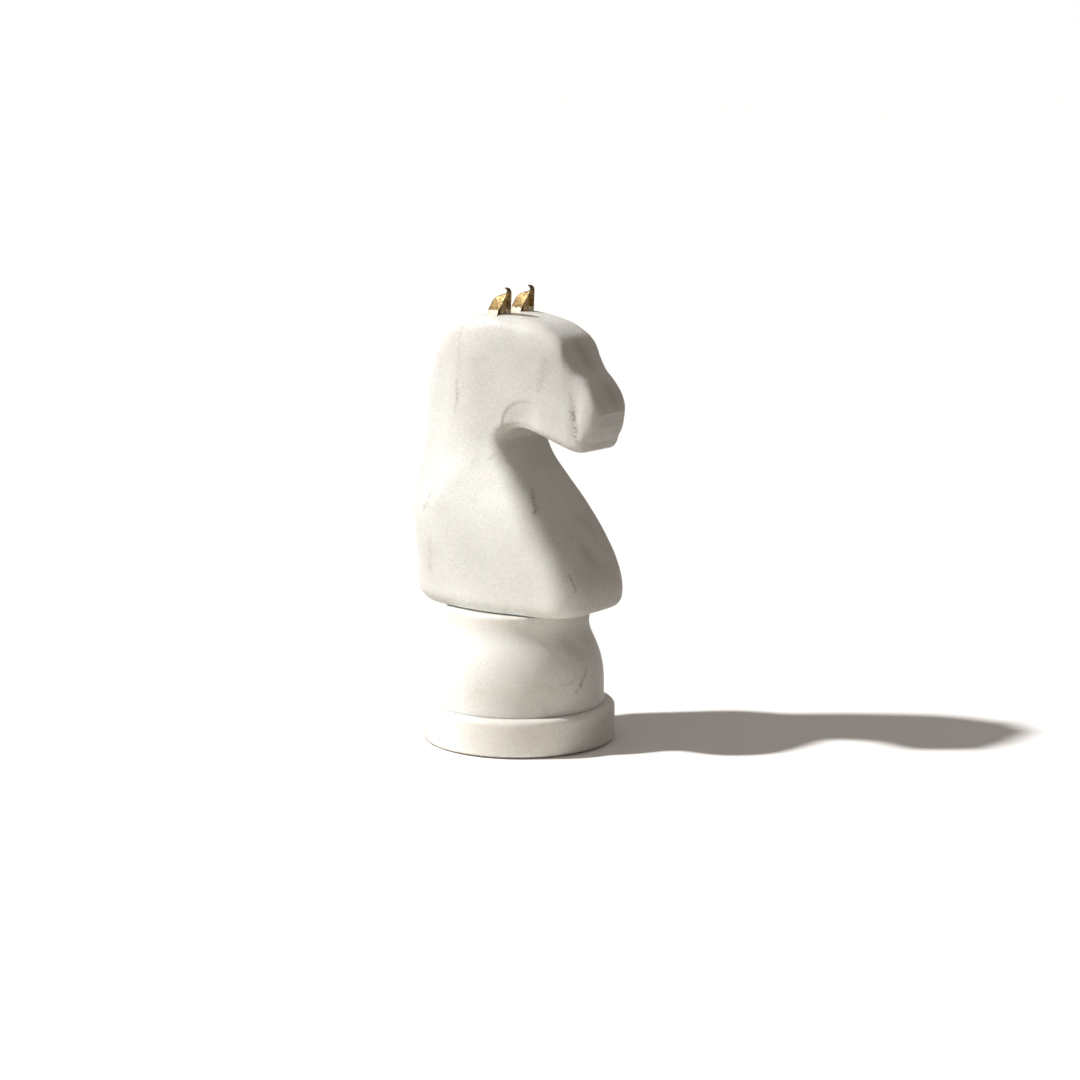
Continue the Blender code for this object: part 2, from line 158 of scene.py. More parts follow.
# The marble's larger veins: from, to, half width, strength.
VEINS = (
    ((-0.036, -0.035, 0.365), (-0.038, -0.039, 0.305), 0.0040, 0.40),
    ((-0.038, -0.039, 0.308), (-0.038, -0.040, 0.302), 0.0034, 0.80),
    ((-0.038, -0.039, 0.300), (-0.061, -0.054, 0.209), 0.0036, 0.50),
    ((-0.060, -0.054, 0.211), (-0.063, -0.054, 0.206), 0.0044, 0.75),
    ((0.050, -0.034, 0.340), (0.045, -0.035, 0.318), 0.0060, 0.40),
    ((0.073, -0.030, 0.314), (0.076, -0.030, 0.298), 0.0030, 0.45),
    ((0.076, -0.030, 0.300), (0.080, -0.031, 0.274), 0.0052, 1.00),
    ((0.004, -0.041, 0.259), (-0.002, -0.043, 0.253), 0.0030, 0.70),
    ((0.034, -0.026, 0.229), (0.043, -0.039, 0.210), 0.0046, 1.00),
    ((0.079, -0.039, 0.158), (0.083, -0.037, 0.146), 0.0034, 0.90),
    ((-0.055, -0.054, 0.181), (-0.060, -0.049, 0.155), 0.0060, 0.45),
    ((-0.030, -0.057, 0.164), (-0.017, -0.056, 0.153), 0.0034, 0.60),
    ((0.074, -0.004, 0.071), (0.074, -0.019, 0.053), 0.0034, 0.95),
    ((0.020, 0.042, 0.330), (0.052, 0.036, 0.290), 0.0030, 0.50),
    ((-0.060, 0.052, 0.240), (-0.020, 0.060, 0.160), 0.0040, 0.30),
    ((-0.088, 0.006, 0.290), (-0.089, -0.010, 0.220), 0.0032, 0.45),
    ((-0.070, 0.024, 0.080), (-0.062, 0.042, 0.050), 0.0028, 0.50),
    ((-0.010, 0.084, 0.028), (0.022, 0.082, 0.008), 0.0026, 0.45),
)

# Soft grey patches that paint shade, told in the same way: where the forehead, muzzle, chest and stem lie in
# shade, and faintly over the lit body, back ridge, head top and the stem's near side.
PAINTED_SHADE_PATCHES = (
    ((0.064, 0.000, 0.350), (0.069, 0.002, 0.338), 0.0160, 0.36),
    ((0.090, 0.004, 0.316), (0.093, 0.006, 0.308), 0.0140, 0.36),
    ((0.074, -0.003, 0.176), (0.073, 0.000, 0.160), 0.0140, 0.36),
    ((0.052, 0.008, 0.216), (0.060, 0.022, 0.190), 0.0120, 0.22),
    ((0.063, -0.022, 0.096), (0.066, -0.008, 0.082), 0.0130, 0.30),
    ((-0.050, -0.056, 0.215), (0.020, -0.056, 0.150), 0.0500, 0.07),
    ((-0.070, -0.040, 0.300), (-0.075, -0.045, 0.340), 0.0280, 0.05),
    ((-0.050, -0.032, 0.362), (0.035, -0.030, 0.360), 0.0180, 0.06),
    ((0.000, -0.070, 0.055), (0.030, -0.070, 0.050), 0.0250, 0.06),
)

# The camera stands this far round the horse's right side from square on.
VIEW_ANGLE = math.radians(34)
CAMERA_DISTANCE, CAMERA_HEIGHT, CAMERA_LENS = 2.37, 0.587, 91.2
# It looks down by this much, at a point this far aside and a little low.
CAMERA_TILT, CAMERA_ASIDE, CAMERA_DROP = math.radians(9.8), 0.0186, 0.0006
TOWARDS_SUN = Vector((-0.589, -0.452, 0.669))
# The floor lies just under the pad, and the board that throws light up lies just under the floor.
FLOOR_RADIUS, FLOOR_DEPTH = 60.0, 0.00005
BOARD_CENTRE = (0.11, -0.39, -0.00006)


class KnightShape(bpy.types.PropertyGroup):
    """Sizes of the carving and turning marks."""

    unevenness: FloatProperty(
        name="Unevenness",
        description="Height of the hand-carved waves in the marble",
        default=0.0004,
        unit="LENGTH",
    )
    turn_steps: IntProperty(
        name="Turn steps", description="Facets round a turned block", default=192, min=32
    )
    turn_rows: IntProperty(
        name="Turn rows", description="Rows along a turned block's outline", default=360, min=32
    )
    hammer_depth: FloatProperty(
        name="Hammer depth",
        description="Depth of the hammer marks on the ears",
        default=0.00016,
        unit="LENGTH",
    )
    hammer_size: FloatProperty(
        name="Hammer size", description="Width of a hammer mark on the ears", default=0.0018, unit="LENGTH"
    )


class KnightFinish(bpy.types.PropertyGroup):
    """Colours of the finishes."""

    stone: FloatVectorProperty(
        name="Stone", description="The marble's main colour", subtype="COLOR", default=(0.85, 0.855, 0.825)
    )
    stone_shade: FloatVectorProperty(
        name="Stone shade",
        description="Colour of the marble's clouds",
        subtype="COLOR",
        default=(0.76, 0.745, 0.715),
    )
    # The vein colour also paints the grey patches of shade.
    vein: FloatVectorProperty(
        name="Vein",
        description="Colour of the marble's veins",
        subtype="COLOR",
        default=(0.30, 0.265, 0.225),
    )
    brass: FloatVectorProperty(
        name="Brass",
        description="Colour of the ears' raised metal",
        subtype="COLOR",
        default=(0.50, 0.36, 0.17),
    )
    # The patina colour also paints the shade inside the ears' right rims and darkens their tips.
    patina: FloatVectorProperty(
        name="Patina",
        description="Colour of the ears' darkened hollows",
        subtype="COLOR",
        default=(0.06, 0.034, 0.012),
    )


class KnightLight(bpy.types.PropertyGroup):
    """The studio."""

    key: FloatProperty(name="Key", description="Strength of the key light", default=4.18, min=0)
    key_softness: FloatProperty(
        name="Key softness",
        description="Angle that the key light covers",
        default=math.radians(2.5),
        subtype="ANGLE",
    )
    bounce: FloatProperty(
        name="Bounce", description="Radius of the bright sheet before the foot", default=0.35, unit="LENGTH"
    )
    sky: FloatVectorProperty(
        name="Sky", description="Light from above the floor", subtype="COLOR", default=(0.285, 0.255, 0.23)
    )
    ground: FloatVectorProperty(
        name="Ground", description="Light from below the floor", subtype="COLOR", default=(0.07, 0.055, 0.04)
    )


class Nodes:
    """Shorthand for building a node tree."""

    def __init__(self, tree):
        self.tree = tree

    def add(self, kind, inputs=(), **settings):
        """A new node. inputs maps a socket's name or number to a value or to the output that feeds it."""
        node = self.tree.nodes.new(kind)
        for name, value in settings.items():
            setattr(node, name, value)
        for name, value in dict(inputs).items():
            if isinstance(value, bpy.types.NodeSocket):
                self.tree.links.new(value, node.inputs[name])
            else:
                node.inputs[name].default_value = value
        return node

    def math(self, operation, *values, clamp=False):
        node = self.add("ShaderNodeMath", enumerate(values), operation=operation, use_clamp=clamp)
        return node.outputs[0]

    def vector(self, operation, *values):
        node = self.add("ShaderNodeVectorMath", enumerate(values), operation=operation)
        return node.outputs["Value" if operation in ("LENGTH", "DOT_PRODUCT", "DISTANCE") else "Vector"]

    def noise(self, point, scale, detail=2.0, roughness=0.5):
        inputs = {"Vector": point, "Scale": scale, "Detail": detail, "Roughness": roughness}
        return self.add("ShaderNodeTexNoise", inputs)

    def cells(self, point, scale):
        return self.add("ShaderNodeTexVoronoi", {"Vector": point, "Scale": scale})

    def scaled(self, vector, scale):
        node = self.add("ShaderNodeVectorMath", {0: vector, "Scale": scale}, operation="SCALE")
        return node.outputs["Vector"]

    def scatter(self, colour, reach):
        """A texture's colour as a small vector either way."""
        return self.scaled(self.vector("SUBTRACT", colour, (0.5, 0.5, 0.5)), reach)

    def z_of(self, vector):
        return self.add("ShaderNodeSeparateXYZ", {0: vector}).outputs["Z"]

    def step(self, value, low, high, to_low=0.0, to_high=1.0):
        """value from low to high, eased to the range to_low to to_high."""
        inputs = {"Value": value, "From Min": low, "From Max": high, "To Min": to_low, "To Max": to_high}
        return self.add("ShaderNodeMapRange", inputs, interpolation_type="SMOOTHSTEP").outputs["Result"]

    def blend(self, share, first, second, blend_type="MIX"):
        """One colour over another. Socket 0 is the share, 6 and 7 are the colours."""
        inputs = {0: share, 6: first, 7: second}
        return self.add("ShaderNodeMix", inputs, data_type="RGBA", blend_type=blend_type).outputs[2]


def new_material(name, **constants):
    """A material with one Principled shader, whose plain values are set on its own sockets."""
    mat = bpy.data.materials.new(name)
    mat.use_nodes = True
    shader = mat.node_tree.nodes["Principled BSDF"]
    for socket, value in constants.items():
        shader.inputs[socket.replace("_", " ")].default_value = value
    nodes = Nodes(mat.node_tree)
    point = nodes.add("ShaderNodeTexCoord").outputs["Object"]
    return mat, nodes, shader, point


def finish_material(mat, shader, colour, rough, height, strength, distance, normal=None):
    """Plug in a colour, a roughness and a bump, and hand the material over."""
    inputs = {"Strength": strength, "Distance": distance, "Height": height}
    if normal is not None:
        inputs["Normal"] = normal
    bump = Nodes(mat.node_tree).add("ShaderNodeBump", inputs)
    links = mat.node_tree.links
    links.new(colour, shader.inputs["Base Color"])
    links.new(rough, shader.inputs["Roughness"])
    links.new(bump.outputs["Normal"], shader.inputs["Normal"])
    return mat


def opaque(colour):
    return (*colour, 1.0)


def vein_group():
    """A node group: how much of a vein that runs between two points covers a point."""
    found = bpy.data.node_groups.get("placed_vein")
    if found:
        return found
    tree = bpy.data.node_groups.new("placed_vein", "ShaderNodeTree")
    sockets = (
        ("Point", "NodeSocketVector"),
        ("From", "NodeSocketVector"),
        ("To", "NodeSocketVector"),
        ("Half Width", "NodeSocketFloat"),
        ("Strength", "NodeSocketFloat"),
    )
    for name, kind in sockets:
        tree.interface.new_socket(name, in_out="INPUT", socket_type=kind)
    tree.interface.new_socket("Cover", in_out="OUTPUT", socket_type="NodeSocketFloat")
    n = Nodes(tree)
    given = n.add("NodeGroupInput").outputs
    run = n.vector("SUBTRACT", given["To"], given["From"])
    away = n.vector("SUBTRACT", given["Point"], given["From"])
    ahead = n.vector("DOT_PRODUCT", away, run)
    share = n.math("DIVIDE", ahead, n.vector("DOT_PRODUCT", run, run), clamp=True)
    distance = n.vector("DISTANCE", away, n.scaled(run, share))
    cover = n.math("SUBTRACT", 1.0, n.math("DIVIDE", distance, given["Half Width"], clamp=True))
    cover = n.math("MULTIPLY", n.math("POWER", cover, 1.5), given["Strength"])
    n.add("NodeGroupOutput", {"Cover": cover})
    return tree


def placed(mat, n, point, marks):
    """How much the placed marks cover a point, by the one that covers it most."""
    cover = 0.0
    for start, end, half_width, strength in marks:
        mark = n.add("ShaderNodeGroup", (), node_tree=vein_group())
        mat.node_tree.links.new(point, mark.inputs["Point"])
        mark.inputs["From"].default_value = start
        mark.inputs["To"].default_value = end
        mark.inputs["Half Width"].default_value = half_width
        mark.inputs["Strength"].default_value = strength
        cover = n.math("MAXIMUM", cover, mark.outputs["Cover"])
    return cover


def marble_material(finish):
    """Honed white marble: soft clouds, thin broken veins, grey patches of painted shade, and the sugary
    sparkle of its crystals.
    """
    mat, n, shader, point = new_material(
        "marble_finish",
        Subsurface_Weight=0.6,
        Subsurface_Radius=(1.0, 0.87, 0.72),
        Subsurface_Scale=0.009,
        IOR=1.48,
        Specular_IOR_Level=0.45,
    )
    # Clouds
    drift = n.noise(point, 6.0, 3.0)
    cloud = n.noise(point, 17.0, 5.0, 0.55)
    cloud_share = n.step(n.math("MULTIPLY", cloud.outputs["Fac"], drift.outputs["Fac"]), 0.14, 0.42)
    colour = n.blend(cloud_share, opaque(finish.stone), opaque(finish.stone_shade))
    # Hairline veins, broken by a second noise
    warp = n.noise(point, 9.0, 4.0)
    bent = n.vector("ADD", point, n.scaled(warp.outputs["Color"], 0.05))
    sheet = n.noise(bent, 7.0, 2.0).outputs["Fac"]
    line = n.step(n.math("ABSOLUTE", n.math("SUBTRACT", sheet, 0.5)), 0.0, 0.012, 1.0, 0.0)
    broken = n.step(n.noise(point, 26.0, 3.0).outputs["Fac"], 0.48, 0.66)
    hairline = n.math("MULTIPLY", n.math("MULTIPLY", line, broken), 0.22)
    # Larger veins, and grey patches of painted shade, frayed by a fine noise
    fray = n.noise(point, 130.0, 4.0, 0.7)
    frayed = n.vector("ADD", point, n.scatter(fray.outputs["Color"], 0.008))
    cover = n.math("MAXIMUM", hairline, placed(mat, n, frayed, VEINS))
    speckled = n.step(n.noise(point, 520.0, 3.0, 0.7).outputs["Fac"], 0.43, 0.58, 0.15, 1.0)
    colour = n.blend(n.math("MULTIPLY", cover, speckled), colour, opaque(finish.vein))
    # Painted shade: the grey patches, laid in the veins' colour.
    colour = n.blend(placed(mat, n, frayed, PAINTED_SHADE_PATCHES), colour, opaque(finish.vein))
    # Crystals: each grain a little lighter or darker, and tilted its own way
    grain = n.cells(point, 820.0)
    tone = n.add("ShaderNodeSeparateColor", {0: grain.outputs["Color"]}).outputs[0]
    speck = n.step(tone, 0.0, 1.0, 0.93, 1.05)
    grey = n.add("ShaderNodeCombineColor", {0: speck, 1: speck, 2: speck}).outputs[0]
    colour = n.blend(1.0, colour, grey, "MULTIPLY")
    rough = n.step(n.noise(point, 60.0, 4.0).outputs["Fac"], 0.3, 0.7, 0.42, 0.56)
    rough = n.math("SUBTRACT", rough, n.step(tone, 0.90, 0.97, 0.0, 0.18))
    normal = n.add("ShaderNodeNewGeometry").outputs["Normal"]
    facet = n.vector("NORMALIZE", n.vector("ADD", normal, n.scatter(grain.outputs["Color"], 0.16)))
    honed = n.noise(point, 420.0, 6.0, 0.6).outputs["Fac"]
    return finish_material(mat, shader, colour, rough, honed, 0.25, 0.0004, facet)


def ear_material(name, finish, metallic, lift, painted_shade=0.0, foot_highlight=0.0):
    """Cast brass with a dark patina left in its low spots, darker towards the tip. lift makes the metal
    paler, or darker below 1; the least darkness laid over all of it paints shade; and the last argument sets
    how strongly a pale band paints a highlight on the foot."""
    mat, n, shader, point = new_material(name, Metallic=metallic)
    pits = n.cells(point, 620.0)
    blotch = n.noise(point, 480.0, 5.0, 0.65).outputs["Fac"]
    low = n.math("MULTIPLY", n.step(pits.outputs["Distance"], 0.25, 0.60), n.step(blotch, 0.42, 0.58))
    height = n.z_of(point)
    tip, foot = EAR_HIGH[2], EAR_LOW[2]
    # Darker towards the tip.
    low = n.math("MAXIMUM", low, n.step(height, tip - TIP_DARKENING[0], tip - TIP_DARKENING[1]))
    # Raising the least darkness everywhere paints shade.
    low = n.math("MAXIMUM", low, painted_shade)
    brass = opaque([min(1.0, value * lift) for value in finish.brass])
    ragged = n.math("ADD", height, n.math("MULTIPLY", blotch, 0.003))
    # Painted highlight: a pale gold band over the foot, where the sun's reflection falls; it also thins the
    # patina there and roughens the metal.
    painted_highlight = n.step(ragged, foot + FOOT_HIGHLIGHT[0], foot + FOOT_HIGHLIGHT[1], foot_highlight, 0.0)
    brass = n.blend(painted_highlight, brass, opaque((1.0, 0.93, 0.76)))
    low = n.math("MULTIPLY", low, n.math("SUBTRACT", 1.0, n.math("MULTIPLY", painted_highlight, 0.7)))
    colour = n.blend(n.math("MULTIPLY", low, 0.92), brass, opaque(finish.patina))
    brushed = n.add("ShaderNodeMapping", {"Vector": point, "Scale": (3000.0, 3000.0, 260.0)})
    streak = n.noise(brushed.outputs["Vector"], 1.0, 3.0).outputs["Fac"]
    rough = n.math("ADD", n.step(low, 0.0, 1.0, 0.32, 0.55), n.step(streak, 0.3, 0.7, 0.0, 0.10))
    rough = n.math("ADD", rough, n.math("MULTIPLY", painted_highlight, 0.2))
    relief = n.math("ADD", n.math("MULTIPLY", blotch, 0.7), n.math("MULTIPLY", streak, 0.2))
    return finish_material(mat, shader, colour, rough, relief, 0.5, 0.0003)


def turned_metal(name, colour, dark, ring_scale, rough_low, rough_high):
    """Metal off a lathe: fine rings along its length, with a few stains."""
    mat, n, shader, point = new_material(name, Metallic=1.0)
    rings = n.add("ShaderNodeMapping", {"Vector": point, "Scale": (40.0, 40.0, ring_scale)})
    ring = n.noise(rings.outputs["Vector"], 1.0, 3.0).outputs["Fac"]
    stain = n.noise(point, 190.0, 4.0, 0.6).outputs["Fac"]
    tint = n.blend(n.step(stain, 0.42, 0.75, 0.0, 0.6), opaque(colour), opaque(dark))
    rough = n.math("ADD", n.step(ring, 0.3, 0.7, rough_low, rough_high), n.step(stain, 0.5, 0.8, 0.0, 0.15))
    return finish_material(mat, shader, tint, rough, ring, 0.25, 0.0001)


def felt_material():
    """Pressed wool felt, with fibres in every direction."""
    mat, n, shader, point = new_material(
        "grey_felt", Sheen_Weight=0.5, Sheen_Roughness=0.6, Specular_IOR_Level=0.2
    )
    fibre = n.noise(n.vector("ADD", point, n.noise(point, 260.0, 2.0).outputs["Color"]), 1900.0, 6.0, 0.8)
    tuft = n.noise(point, 300.0, 4.0).outputs["Fac"]
    mixed = n.math("ADD", n.math("MULTIPLY", fibre.outputs["Fac"], 0.6), n.math("MULTIPLY", tuft, 0.4))
    colour = n.blend(n.step(mixed, 0.35, 0.65), (0.24, 0.225, 0.21, 1), (0.42, 0.40, 0.375, 1))
    rough = n.step(tuft, 0.3, 0.7, 0.85, 1.0)
    return finish_material(mat, shader, colour, rough, mixed, 0.7, 0.0005)


def floor_material(name, light_tone, dark_tone):
    """Matt card with a faint cloudiness."""
    mat, n, shader, point = new_material(name, Specular_IOR_Level=0.1)
    paper = n.noise(point, 3.0, 4.0).outputs["Fac"]
    colour = n.blend(n.step(paper, 0.3, 0.7), opaque(dark_tone), opaque(light_tone))
    mat.node_tree.links.new(colour, shader.inputs["Base Color"])
    shader.inputs["Roughness"].default_value = 0.9
    return mat


def through_points(rows, steps):
    """Rows of numbers joined by a smooth curve that passes through each of them."""
    rows = np.array(rows, float)
    gaps = np.linalg.norm(np.diff(rows[:, :4], axis=0), axis=1)
    slopes = np.gradient(rows, np.concatenate([[0], np.cumsum(gaps)]), axis=0)
    out = []
    for i, gap in enumerate(gaps):
        for t in np.linspace(0, 1, steps, endpoint=False):
            start = (1 + 2 * t) * (1 - t) ** 2 * rows[i] + t * (1 - t) ** 2 * gap * slopes[i]
            end = t * t * (3 - 2 * t) * rows[i + 1] + t * t * (t - 1) * gap * slopes[i + 1]
            out.append(start + end)
    out.append(rows[-1])
    return np.array(out)


def rounded_outline(corners, cuts, steps, spans):
    """A closed polygon with each corner replaced by a smooth turn that starts the given distance from
    it, and with spans extra points on the straight stretch after each turn."""
    corners = np.array(corners, float)
    turns = []
    for i, corner in enumerate(corners):
        before = corners[i - 1] - corner
        after = corners[(i + 1) % len(corners)] - corner
        start = corner + before * min(cuts[i] / np.linalg.norm(before), 0.48)
        end = corner + after * min(cuts[i] / np.linalg.norm(after), 0.48)
        t = np.linspace(0, 1, steps + 1)[:, None]
        turns.append((1 - t) ** 2 * start + 2 * t * (1 - t) * corner + t * t * end)
    out = []
    for i, turn in enumerate(turns):
        out.append(turn)
        next_start = turns[(i + 1) % len(turns)][0]
        out.append(turn[-1] + (next_start - turn[-1]) * np.linspace(0, 1, spans[i] + 2)[1:-1, None])
    return np.concatenate(out)


def bust_ring(row):
    """One cut through the bust, from its row."""
    back = np.array([row[0], 0, row[1]])
    front = np.array([row[2], 0, row[3]])
    mane, ridge, face, share, mane_cut, ridge_cut, face_cut = row[4:]
    length = np.linalg.norm(front - back)
    along = (front - back) / length
    half = [(0.0, mane), (share * length, ridge), (length, face)]
    corners = [(u, -y) for u, y in half] + [(u, y) for u, y in reversed(half)]
    cuts = [mane_cut, ridge_cut, face_cut, face_cut, ridge_cut, mane_cut]
    spans = [BACK_SPAN, FRONT_SPAN, FACE_SPAN, FRONT_SPAN, BACK_SPAN, MANE_SPAN]
    flat = rounded_outline(corners, cuts, TURN_STEPS, spans)
    return back + along * flat[:, :1] + np.array([0, 1, 0]) * flat[:, 1:]


def end_rings(ring, steps, dome):
    """Rings that close the end of a stack: they shrink to a point, over a slight dome."""
    centre = ring.mean(axis=0)
    out = []
    for t in np.linspace(0, 1, steps + 1)[1:-1]:
        lift = np.array(dome) * math.sin(t * math.pi / 2)
        out.append(centre + (ring - centre) * math.cos(t * math.pi / 2) + lift)
    return out, centre + np.array(dome)


def skin(name, rings, tip_low=None, tip_high=None):
    """A closed mesh through rings of points, each end filled by one face, or a fan where a tip is given."""
    bm = bmesh.new()
    loops = [[bm.verts.new(p) for p in ring] for ring in rings]
    count = len(loops[0])
    for low, high in zip(loops, loops[1:]):
        for i in range(count):
            j = (i + 1) % count
            bm.faces.new((low[i], low[j], high[j], high[i]))
    for loop, tip in ((loops[0], tip_low), (loops[-1], tip_high)):
        if tip is None:
            bm.faces.new(loop)
            continue
        point = bm.verts.new(tip)
        for i in range(count):
            bm.faces.new((loop[i], loop[(i + 1) % count], point))
    bmesh.ops.recalc_face_normals(bm, faces=bm.faces)
    return mesh_object(name, bm)


def mesh_object(name, bm):
    """A new object in the scene from a bmesh, which is used up."""
    mesh = bpy.data.meshes.new(name)
    bm.to_mesh(mesh)
    bm.free()
    obj = bpy.data.objects.new(name, mesh)
    bpy.context.scene.collection.objects.link(obj)
    return obj


def smooth(obj, angle=40):
    """Smooth shading, but for edges sharper than the angle in degrees."""
    obj.data.shade_smooth()
    obj.data.set_sharp_from_angle(angle=math.radians(angle))


def peg(radius, bottom, top, centre, steps=48):
    """A round cutter."""
    bm = bmesh.new()
    made = bmesh.ops.create_cone(
        bm, cap_ends=True, segments=steps, radius1=radius, radius2=radius, depth=top - bottom
    )
    bmesh.ops.translate(bm, verts=made["verts"], vec=(centre[0], centre[1], (top + bottom) / 2))
    return mesh_object("cutter", bm)


def cut_away(obj, cutters):
    """Take the cutters out of the object, keep the result as a plain mesh, and remove the cutters."""
    for cutter in cutters:
        modifier = obj.modifiers.new("cut", "BOOLEAN")
        modifier.operation = "DIFFERENCE"
        modifier.solver = "EXACT"
        modifier.object = cutter
    bake_modifiers(obj)
    for cutter in cutters:
        bpy.data.objects.remove(cutter)


def bake_modifiers(obj):
    """Replace the object's mesh by what its modifiers make of it, and drop the modifiers."""
    evaluated = obj.evaluated_get(bpy.context.evaluated_depsgraph_get())
    mesh = bpy.data.meshes.new_from_object(evaluated)
    obj.modifiers.clear()
    obj.data = mesh
    mesh.name = obj.name


def give(obj, mats, slot, *nodes):
    """Finish a piece: its materials, its body, and the frame's nodes that it stands for. slot is not used.
    """
    obj.data.materials.clear()
    for mat in mats:
        obj.data.materials.append(mat)
    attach(obj, "root")
    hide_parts(*nodes)


def bump_field(points, scale, seed):
    """Smooth noise from -1 to 1 at each point."""
    shift = Vector((seed, seed * 2, seed * 3))
    return np.array([noise.noise(Vector(p) * scale + shift) for p in points])


def ease(value, low, high):
    """From 0 at low to 1 at high, gently at both ends."""
    t = np.clip((value - low) / (high - low), 0, 1)
    return t * t * (3 - 2 * t)


def hill(value, centre, half):
    """A bell curve: 1 at the centre, and about a third half a width away."""
    return np.exp(-(((value - centre) / half) ** 2))


def carve(obj, shape):
    """Push the bust's surface in and out along its normals for what the cuts are too coarse to hold."""
    mesh = obj.data
    count = len(mesh.vertices)
    points = np.empty(count * 3)
    mesh.vertices.foreach_get("co", points)
    points = points.reshape(-1, 3)
    normals = np.empty(count * 3)
    mesh.vertices.foreach_get("normal", normals)
    normals = normals.reshape(-1, 3)
    x, z = points[:, 0], points[:, 2]
    side = ease(np.abs(normals[:, 1]), 0.35, 0.8)
    push = np.zeros(count)
    # Valley that sets the muzzle off from the cheek
    valley = 0.0785 + 0.12 * (z - 0.300)
    push -= 0.0004 * side * hill(x, valley, 0.0045) * ease(z, 0.262, 0.275) * ease(z, 0.335, 0.310)
    # Thumb-shaped scoop over the throat
    reach = np.hypot(x - SCOOP_CENTRE[0], z - SCOOP_CENTRE[1])
    rim = 0.0008 * ease(reach, SCOOP_RADIUS, SCOOP_RADIUS - 0.0016)
    scoop = rim + 0.0014 * ease(reach, SCOOP_RADIUS, 0.004)
    push -= side * scoop * ease(x, 0.050, 0.034) * ease(z, 0.262, 0.280)
    # Mouth
    mouth = np.hypot((x - MOUTH_CENTRE[0]) / MOUTH_HALF[0], (z - MOUTH_CENTRE[1]) / MOUTH_HALF[1])
    push -= 0.0013 * np.exp(-(mouth**2))
    # Hollow of the forehead
    forward = ease(normals[:, 0], 0.25, 0.8) * ease(x, 0.05, 0.06)
    push -= 0.0008 * forward * hill(z, 0.349, 0.008) * hill(points[:, 1], 0.0, 0.016)
    # Hand-carved waves, which fade out at the underside
    waves = 0.7 * bump_field(points, 24.0, 1.7) + 0.3 * bump_field(points, 70.0, 5.1)
    inner = ease(z, BUST_LOW[2], BUST_LOW[2] + 0.004)
    push += shape.unevenness * waves * inner
    points += normals * push[:, None]
    points[:, 2] = np.maximum(points[:, 2], BUST_LOW[2])
    mesh.vertices.foreach_set("co", points.ravel())
    mesh.update()


def holes_in(low_face, high_face):
    """Cutters for the dowels' sockets in the block that lies between two heights."""
    cutters = []
    for name in DOWELS:
        low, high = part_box(name)
        if low[2] < high_face and high[2] > low_face:
            centre = ((low[0] + high[0]) / 2, (low[1] + high[1]) / 2)
            cutters.append(peg((high[0] - low[0]) / 2 + FIT, low[2] - FIT, high[2] + FIT, centre))
    return cutters


def make_bust(shape, finish):
    """The horse's head, neck and chest, with sockets for all that is set into them."""
    rings = [bust_ring(row) for row in through_points(CUTS, CUT_STEPS)]
    closing, tip = end_rings(rings[-1], 8, (0.0001, 0, 0))
    obj = skin("marble_bust", rings + closing, None, tip)
    carve(obj, shape)
    cutters = holes_in(BUST_LOW[2], BUST_HIGH[2])
    low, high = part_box("rod_sleeve")
    cutters.append(peg((high[0] - low[0]) / 2 + FIT, BUST_LOW[2] - 0.002, high[2] + 0.0025, (0, 0)))
    for side in ("right", "left"):
        stud_low, stud_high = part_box("ear_stud_" + side)
        y = (stud_low[1] + stud_high[1]) / 2
        radius = (stud_high[0] - stud_low[0]) / 2 + FIT
        cutters.append(peg(radius, stud_low[2] - FIT, stud_high[2], (EAR_X, y)))
        cutters.append(ear_pocket(y))
    cut_away(obj, cutters)
    smooth(obj)
    give(obj, [marble(finish)], "marble", "bust")


def marble(finish):
    """The one marble that all three blocks share."""
    return bpy.data.materials.get("marble_finish") or marble_material(finish)


def ear_ring(row, y, turn_steps, spans):
    """One cut through an ear, from its row: a fold behind, two rims, and a W-shaped hollow between them."""
    rear = np.array([row[0], 0, row[1]])
    rim = np.array([row[2], 0, row[3]])
    length = np.linalg.norm(rim - rear)
    along = (rim - rear) / length
    wide, narrow, hollow = row[4:]
    depth, wall = length - hollow, 0.8 * wide
    corners = [(0, -narrow), (length, -wide), (depth, -wall), (depth + 0.45 * hollow, 0)]
    corners += [(depth, wall), (length, wide), (0, narrow)]
    cuts = [1.1 * narrow, 0.08 * wide, 0.15 * wide, 0.5 * wide, 0.15 * wide, 0.08 * wide, 1.1 * narrow]
    flat = rounded_outline(corners, cuts, turn_steps, spans)
    seat = np.array([EAR_X, y, EAR_LOW[2]])
    return seat + rear + along * flat[:, :1] + np.array([0, 1, 0]) * flat[:, 1:]


def ear_pocket(y):
    """The recess that an ear stands in: the outline of its foot, grown by the fit."""
    foot = ear_ring(EAR_CUTS[1], y, 4, [2] * len(EAR_SPANS))
    along = np.roll(foot, -1, axis=0) - np.roll(foot, 1, axis=0)
    out = np.stack([along[:, 1], -along[:, 0], np.zeros(len(foot))], axis=1)
    foot += out / np.linalg.norm(out, axis=1)[:, None] * 2 * FIT
    foot[:, 2] = EAR_LOW[2] - FIT
    return skin("pocket", [foot, foot + np.array([0, 0, 0.010])])


